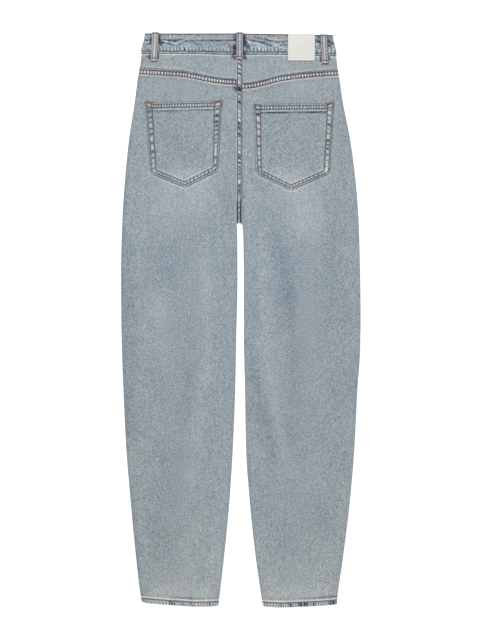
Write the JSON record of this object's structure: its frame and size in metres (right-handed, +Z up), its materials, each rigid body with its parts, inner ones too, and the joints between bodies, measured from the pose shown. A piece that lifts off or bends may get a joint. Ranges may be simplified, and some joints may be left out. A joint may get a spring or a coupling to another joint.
{
  "type": "barrel jeans laid flat, back side up",
  "caption": "High-waisted barrel-leg denim jeans laid flat on their front, with yokes, patch pockets, belt loops and a blank waist patch.",
  "frame": {"origin": "on the surface the jeans lie on, under the middle of their bounding box", "axes": "+Y along the legs towards the waist, +X to the right of someone looking down at the back, +Z up out of the surface, through the back side"},
  "size_m": [0.434, 1.0399, 0.01],
  "materials": {
    "denim": "light-wash twill denim, faded and softly mottled",
    "patch": "matt off-white leather board, left blank",
    "button": "antique brushed brass"
  },
  "bodies": {
    "root": {"front_leg_left": "denim", "front_leg_right": "denim", "back_leg_left": "denim", "back_leg_right": "denim", "back_yoke_left": "denim", "back_yoke_right": "denim", "back_pocket_left": "denim", "back_pocket_right": "denim", "waistband_back": "denim", "waistband_front_left": "denim", "waistband_front_right": "denim", "belt_loop_back_left": "denim", "belt_loop_back_centre": "denim", "belt_loop_back_right": "denim", "belt_loop_front_left": "denim", "belt_loop_front_right": "denim", "back_patch": "patch", "waist_button": "button"}
  },
  "joints": []
}
